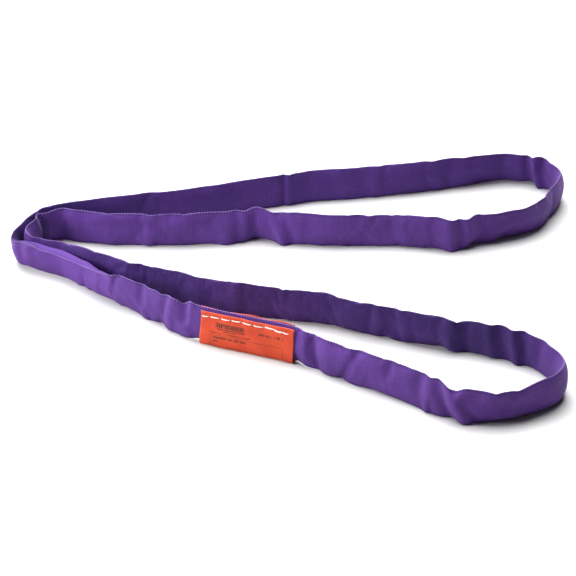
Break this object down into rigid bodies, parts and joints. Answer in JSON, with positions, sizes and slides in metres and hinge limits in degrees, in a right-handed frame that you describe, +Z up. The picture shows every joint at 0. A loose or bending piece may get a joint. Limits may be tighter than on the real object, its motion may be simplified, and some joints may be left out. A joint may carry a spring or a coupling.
{
  "type": "round sling",
  "caption": "Endless round sling: a yarn hank in a woven tubular jacket, laid on edge and folded into a V, with a folded identification tag.",
  "frame": {"origin": "on the floor, under the centre of the sling's bounding box", "axes": "+X from the fold of the V along its middle to the two bights, +Y across the V towards the far leg, +Z up, across the width of the upright band"},
  "size_m": [0.5582, 0.4478, 0.0405],
  "materials": {
    "jacket": "woven, soft sheen",
    "core_yarn": "untwisted yarn",
    "tag": "satin",
    "tag_thread": "sewing thread",
    "closing_thread": "sewing thread"
  },
  "bodies": {
    "root": {"jacket": "jacket", "core_yarn": "core_yarn", "tag": "tag", "tag_needle_thread": "tag_thread", "tag_bobbin_thread": "tag_thread", "closing_needle_thread": "closing_thread", "closing_bobbin_thread": "closing_thread"}
  },
  "joints": []
}
